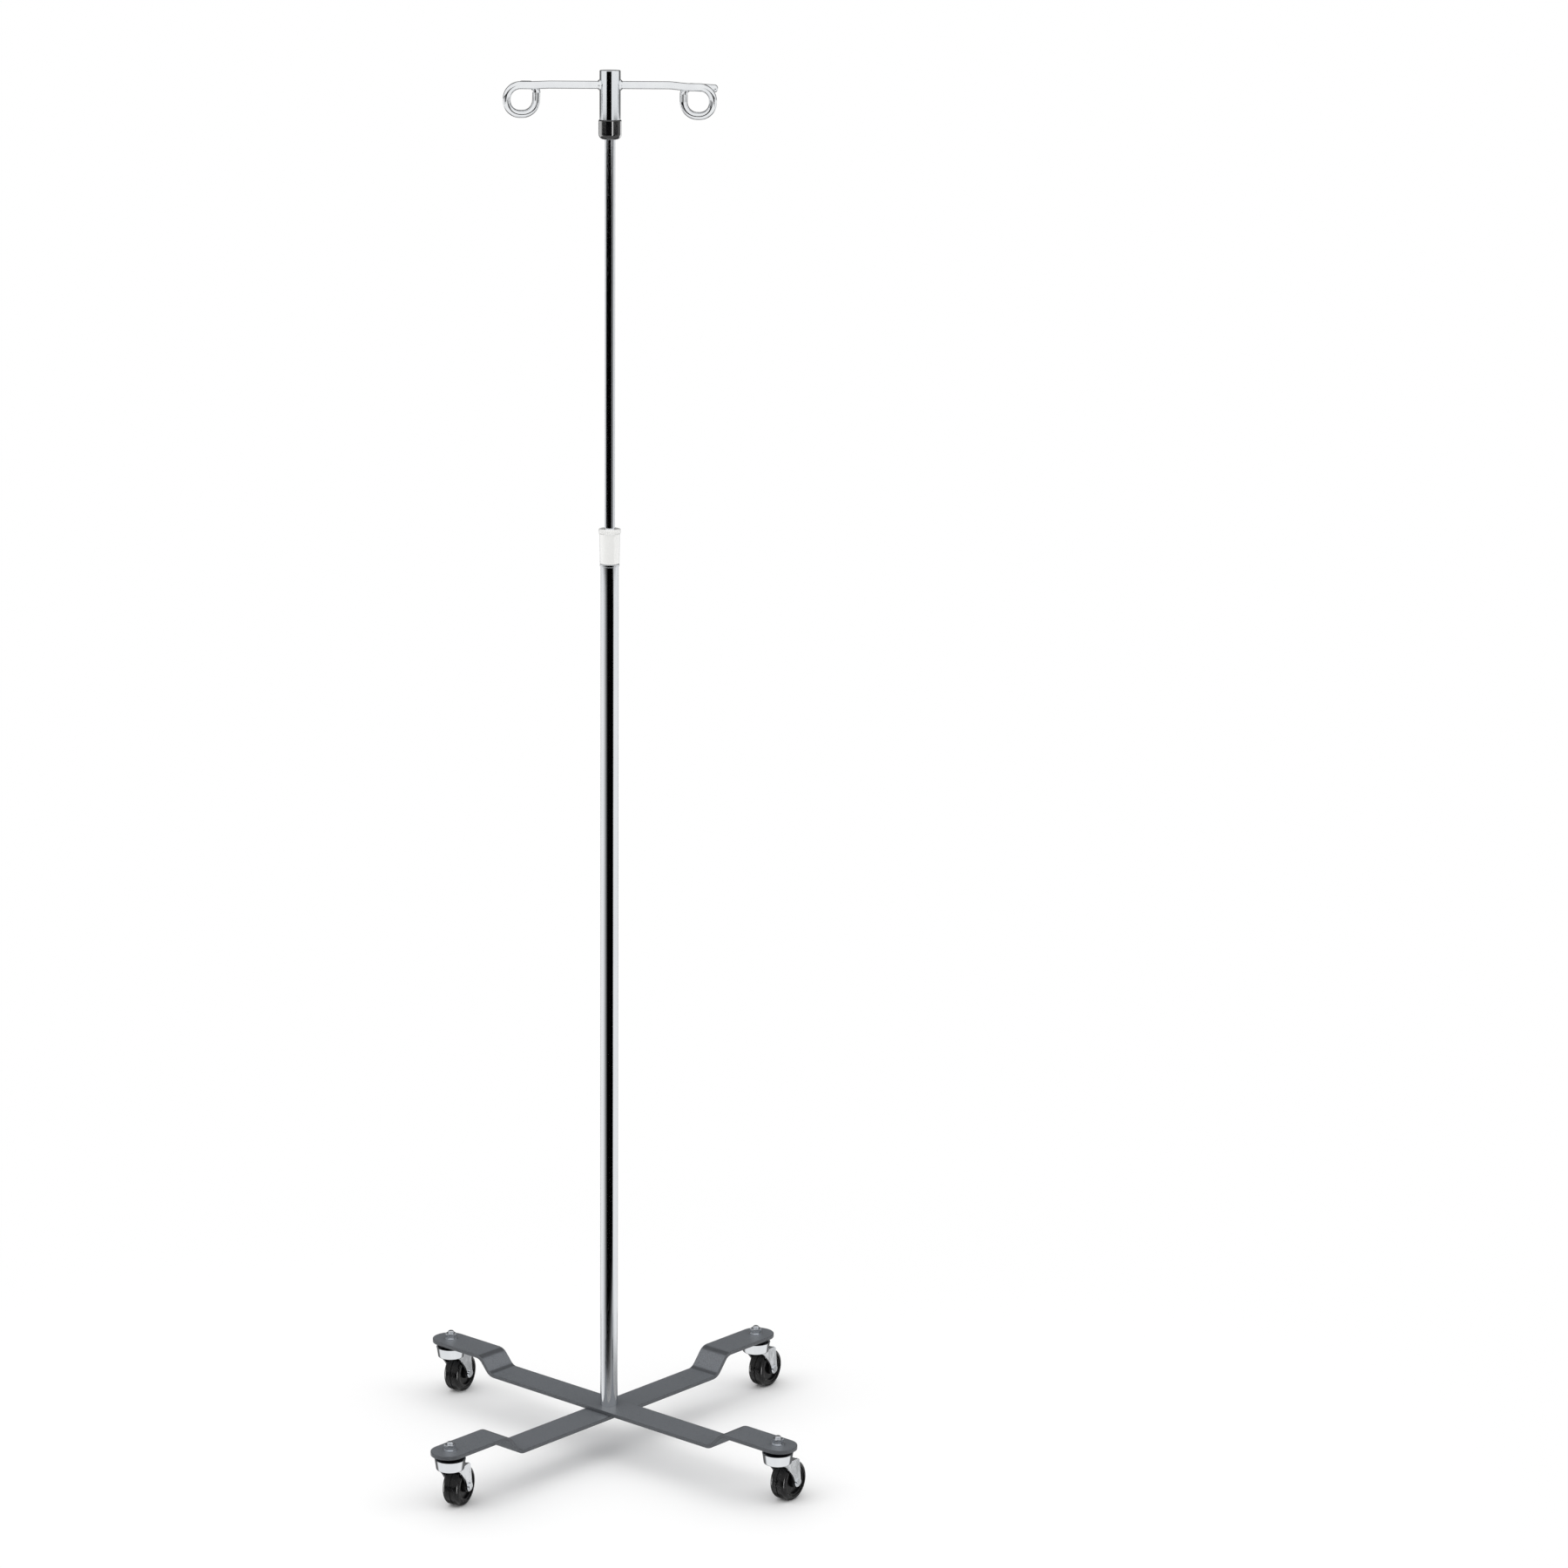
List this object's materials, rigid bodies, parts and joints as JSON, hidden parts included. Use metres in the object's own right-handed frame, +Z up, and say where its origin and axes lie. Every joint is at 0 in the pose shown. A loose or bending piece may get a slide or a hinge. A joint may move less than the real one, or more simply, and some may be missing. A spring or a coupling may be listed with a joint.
{
  "type": "iv pole",
  "caption": "Rolling drip stand: telescoping chromed pole with coiled bag hooks and a twist lock, on a crossed flat-bar base with swivel casters.",
  "frame": {"origin": "on the floor under the pole's axis", "axes": "+Z up along the pole, the hook arms along X, the casters' stems on the diagonals between X and Y"},
  "size_m": [0.4707, 0.4784, 1.765],
  "materials": {
    "chrome_plate": "bright chrome plate on steel tube and rod",
    "fork_chrome": "chrome plate on pressed steel",
    "vein_coat": "grey silver-vein powder coat, satin",
    "zinc_plate": "bright zinc plate",
    "dark_zinc": "oiled dark zinc",
    "black_steel": "black oxide",
    "lock_nylon": "white moulded nylon, glossy",
    "glide_nylon": "natural nylon",
    "black_plastic": "glossy black moulded plastic",
    "hub_plastic": "black moulded plastic",
    "tyre_rubber": "smooth black rubber"
  },
  "bodies": {
    "stand": {"leg_bar_upper": "vein_coat", "leg_bar_lower": "vein_coat", "centre_washer": "zinc_plate", "centre_bolt": "zinc_plate", "tube_foot_plug": "zinc_plate", "lower_tube": "chrome_plate", "lock_ferrule": "chrome_plate", "ferrule_rivet": "chrome_plate", "lock_collet": "glide_nylon", "caster_washers": "zinc_plate", "caster_nuts": "zinc_plate", "rear_right_stem": "zinc_plate", "rear_right_race": "dark_zinc", "rear_left_stem": "zinc_plate", "rear_left_race": "dark_zinc", "front_left_stem": "zinc_plate", "front_left_race": "dark_zinc", "front_right_stem": "zinc_plate", "front_right_race": "dark_zinc"},
    "lock": {"lock_ring": "lock_nylon"},
    "glide": {"glide_bush": "glide_nylon"},
    "mast": {"inner_rod": "chrome_plate", "rod_end_plug": "zinc_plate", "glide_washer": "zinc_plate", "glide_screw": "zinc_plate", "head_bushing": "black_plastic", "head_set_screw": "black_steel", "head_sleeve": "chrome_plate", "head_cap": "chrome_plate", "hook_left": "chrome_plate", "hook_right": "chrome_plate"},
    "rear_right_swivel": {"rear_right_fork": "fork_chrome", "rear_right_balls": "zinc_plate", "rear_right_axle": "fork_chrome", "rear_right_axle_sleeve": "zinc_plate"},
    "rear_right_wheel": {"rear_right_hub": "hub_plastic", "rear_right_tyre": "tyre_rubber"},
    "rear_left_swivel": {"rear_left_fork": "fork_chrome", "rear_left_balls": "zinc_plate", "rear_left_axle": "fork_chrome", "rear_left_axle_sleeve": "zinc_plate"},
    "rear_left_wheel": {"rear_left_hub": "hub_plastic", "rear_left_tyre": "tyre_rubber"},
    "front_left_swivel": {"front_left_fork": "fork_chrome", "front_left_balls": "zinc_plate", "front_left_axle": "fork_chrome", "front_left_axle_sleeve": "zinc_plate"},
    "front_left_wheel": {"front_left_hub": "hub_plastic", "front_left_tyre": "tyre_rubber"},
    "front_right_swivel": {"front_right_fork": "fork_chrome", "front_right_balls": "zinc_plate", "front_right_axle": "fork_chrome", "front_right_axle_sleeve": "zinc_plate"},
    "front_right_wheel": {"front_right_hub": "hub_plastic", "front_right_tyre": "tyre_rubber"}
  },
  "joints": [
    {"name": "lock_twist", "type": "hinge", "parent": "stand", "child": "lock", "pos_m": [0, 0, 1.1609], "axis": [0, 0, 1], "range_deg": [0, 90]},
    {"name": "mast_slide", "type": "slide", "parent": "stand", "child": "glide", "axis": [0, 0, 1], "range_m": [-0.476, 0.525]},
    {"name": "mast_turn", "type": "hinge", "parent": "glide", "child": "mast", "pos_m": [0, 0, 0.60055], "axis": [0, 0, 1], "continuous": true},
    {"name": "rear_right_swivel", "type": "hinge", "parent": "stand", "child": "rear_right_swivel", "pos_m": [0.20435, 0.20435, 0.0545], "axis": [0, 0, 1], "continuous": true},
    {"name": "rear_right_roll", "type": "hinge", "parent": "rear_right_swivel", "child": "rear_right_wheel", "pos_m": [0.21839, 0.22232, 0.0254], "axis": [-0.788, 0.6157, 0], "continuous": true},
    {"name": "rear_left_swivel", "type": "hinge", "parent": "stand", "child": "rear_left_swivel", "pos_m": [-0.20435, 0.20435, 0.0545], "axis": [0, 0, 1], "continuous": true},
    {"name": "rear_left_roll", "type": "hinge", "parent": "rear_left_swivel", "child": "rear_left_wheel", "pos_m": [-0.19261, 0.2239, 0.0254], "axis": [-0.8572, 0.515, 0], "continuous": true},
    {"name": "front_left_swivel", "type": "hinge", "parent": "stand", "child": "front_left_swivel", "pos_m": [-0.20435, -0.20435, 0.0545], "axis": [0, 0, 1], "continuous": true},
    {"name": "front_left_roll", "type": "hinge", "parent": "front_left_swivel", "child": "front_left_wheel", "pos_m": [-0.194, -0.18404, 0.0254], "axis": [-0.891, 0.454, 0], "continuous": true},
    {"name": "front_right_swivel", "type": "hinge", "parent": "stand", "child": "front_right_swivel", "pos_m": [0.20435, -0.20435, 0.0545], "axis": [0, 0, 1], "continuous": true},
    {"name": "front_right_roll", "type": "hinge", "parent": "front_right_swivel", "child": "front_right_wheel", "pos_m": [0.21901, -0.18689, 0.0254], "axis": [-0.766, 0.6428, 0], "continuous": true}
  ]
}
